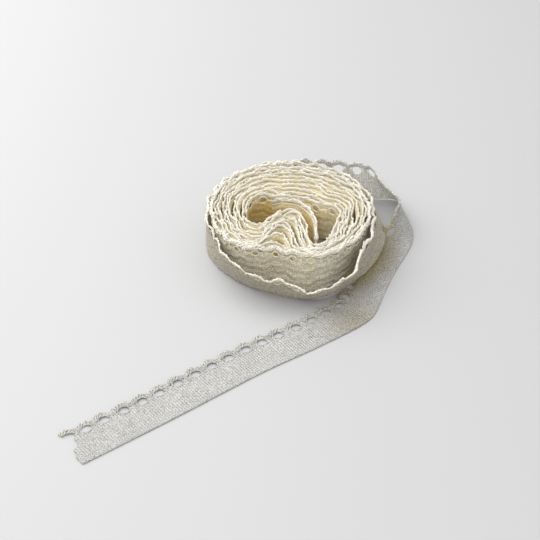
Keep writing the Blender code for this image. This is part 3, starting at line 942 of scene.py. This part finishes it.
def build_stretch(tape, piece, threads):
    """The ground, the edge cord and the eyelets of one stretch of the tape."""
    loose, inner = piece.name == "loose_end", piece.name == "inner_turns"
    sides = 4 if inner else 5

    net = Piece(piece.tone)
    if loose:
        add_ground(net, tape, piece.start, piece.end, piece.eyelet, OPEN_NET_THICKNESS, net_relief,
                   open_net(tape))
    elif inner:
        add_ground(net, tape, 0.0, INNERMOST_LENGTH, piece.eyelet, CLOSE_NET_THICKNESS, weave_relief)
        add_cloth(net, tape, INNERMOST_LENGTH, piece.end, high=13.9, step=1.2, rows=8, thickness=1.0)
    else:
        add_ground(net, tape, piece.start, piece.end, piece.eyelet, CLOSE_NET_THICKNESS, weave_relief)
    add_selvage(net, tape, piece.start, piece.end)
    net = net.make(piece.name + "_net", threads[piece.net])

    def girth(distance):
        """Thinner where the outer turn's scallops stand away from the roll, pulled straight."""
        return piece.girth * (1 - CORD_AT_CURL * tape.read(tape.curl / COLLAR_CURL, distance)[:, 0])

    cord = Piece(piece.cord_tone)
    cord_end = piece.end - CORD_FROM_END if loose else piece.end
    add_edge_cord(cord, tape, piece.start, cord_end, piece.dip, piece.step, sides, piece.loop_gap, girth)
    cord = cord.make(piece.name + "_edge_cord", threads[piece.edge])

    eyelets = Piece(piece.tone)
    add_eyelets(eyelets, tape, piece.start, piece.end, 11 if inner else 15, sides, piece.eyelet)
    eyelets = eyelets.make(piece.name + "_eyelets", threads[piece.rings])

    for thing in (net, cord, eyelets):
        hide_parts("loose_end" if loose else "wound_roll")


def build_inner_end(threads):
    """The ground and the edge cord of the tape's inner end."""
    tape = build_inner_tape()
    cloth, cord = Piece(wound_painted_shading), Piece(wound_painted_shading)
    add_cloth(cloth, tape, 0.0, tape.length, high=14.0, step=WEAVE_STEP, rows=WEAVE_ROWS, thickness=0.6,
              relief=weave_relief)
    cloth = cloth.make("inner_end_net", threads["lace_roll_net"])
    add_edge_cord(cord, tape, 0.2, tape.length - 0.2, dip=0.3, step=0.33, sides=6, loop_gap=0.6,
                  girth=np.ones_like)
    cord = cord.make("inner_end_edge_cord", threads["lace_roll_thread"])
    for thing in (cloth, cord):
        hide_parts("wound_roll")


def build_lace():
    """Every piece of the lace, on the paths it follows."""
    threads = {name: thread_material(name, look) for name, look in THREAD_LOOKS.items()}
    tape, second_start, outer_start, loose_start = build_main_tape()
    stretches = [
        Stretch("loose_end", loose_start, tape.length, "lace_tail_net", "lace_tail_thread",
                "lace_tail_net", lying_painted_shading, lying_painted_shading, 3.1, 0.3, 0.4, 1.12, 1.0),
        Stretch("outer_turn", outer_start, loose_start, "lace_outer_net", "lace_roll_thread",
                "lace_outer_net", leaving_painted_shading, wound_painted_shading, 1.5, 0.33, 0.8, 0.9, 0.7),
        Stretch("second_turn", second_start, outer_start, "lace_wall_net", "lace_roll_thread",
                "lace_roll_thread", wound_painted_shading, wound_painted_shading, 1.5, 0.33, 0.3, 1.05, 0.6),
        Stretch("inner_turns", 0.0, second_start, "lace_roll_net", "lace_roll_thread",
                "lace_roll_thread", wound_painted_shading, wound_painted_shading, 0.5, 0.42, 1.2, 0.72, 0.8),
    ]
    for piece in stretches:
        build_stretch(tape, piece, threads)
    build_inner_end(threads)


def build_stage():
    """A plain pale table top under the roll."""
    mesh = bpy.data.meshes.new("table_top")
    reach = 3.0
    mesh.from_pydata(
        [(-reach, -reach, 0), (reach, -reach, 0), (reach, reach, 0), (-reach, reach, 0)], [], [(0, 1, 2, 3)]
    )
    table = bpy.data.objects.new("table_top", mesh)
    bpy.context.collection.objects.link(table)
    material = bpy.data.materials.new("table_top")
    material.use_nodes = True
    shader = material.node_tree.nodes["Principled BSDF"]
    shader.inputs["Base Color"].default_value = (0.385, 0.385, 0.386, 1)
    shader.inputs["Roughness"].default_value = 0.6
    mesh.materials.append(material)


def add_lamp(name, place, width, height, energy):
    """Adds a soft white lamp that faces the roll."""
    lamp = bpy.data.lights.new(name, "AREA")
    lamp.shape = "RECTANGLE"
    lamp.size, lamp.size_y = width, height
    lamp.energy = energy
    lamp.color = (1.0, 1.0, 1.0)
    thing = bpy.data.objects.new(name, lamp)
    thing.location = place
    thing.rotation_euler = (-Vector(place)).to_track_quat("-Z", "Y").to_euler()
    bpy.context.collection.objects.link(thing)


def build_lights():
    """Soft daylight from behind on the left, a weak fill from the front and an even pale surround."""
    world = bpy.data.worlds.new("surround")
    world.use_nodes = True
    world.node_tree.nodes["Background"].inputs["Color"].default_value = (1.0, 1.0, 1.0, 1)
    world.node_tree.nodes["Background"].inputs["Strength"].default_value = 1.05
    bpy.context.scene.world = world
    add_lamp("window", (-0.36, 0.28, 0.42), width=0.7, height=0.6, energy=4.4)
    add_lamp("fill", (-0.10, -0.36, 0.46), width=0.35, height=0.35, energy=1.3)


def build_camera():
    """The photograph's view: level with its centre aimed in front of the roll, looking along +Y."""
    focal_px, image_px, sensor_mm = 1300.0, 540.0, 36.0
    elevation, distance = math.radians(36.0), 0.469
    aim = Vector((-0.008, -0.0165, 0.0))
    lens = bpy.data.cameras.new("camera")
    lens.sensor_width = sensor_mm
    lens.lens = focal_px / image_px * sensor_mm
    lens.clip_start = 0.01
    camera = bpy.data.objects.new("camera", lens)
    camera.location = aim + distance * Vector((0, -math.cos(elevation), math.sin(elevation)))
    camera.rotation_euler = (math.pi / 2 - elevation, 0, 0)
    bpy.context.collection.objects.link(camera)
    bpy.context.scene.camera = camera


build_camera()
build_lights()
build_stage()
build_lace()
bpy.context.scene.view_settings.view_transform = "Standard"
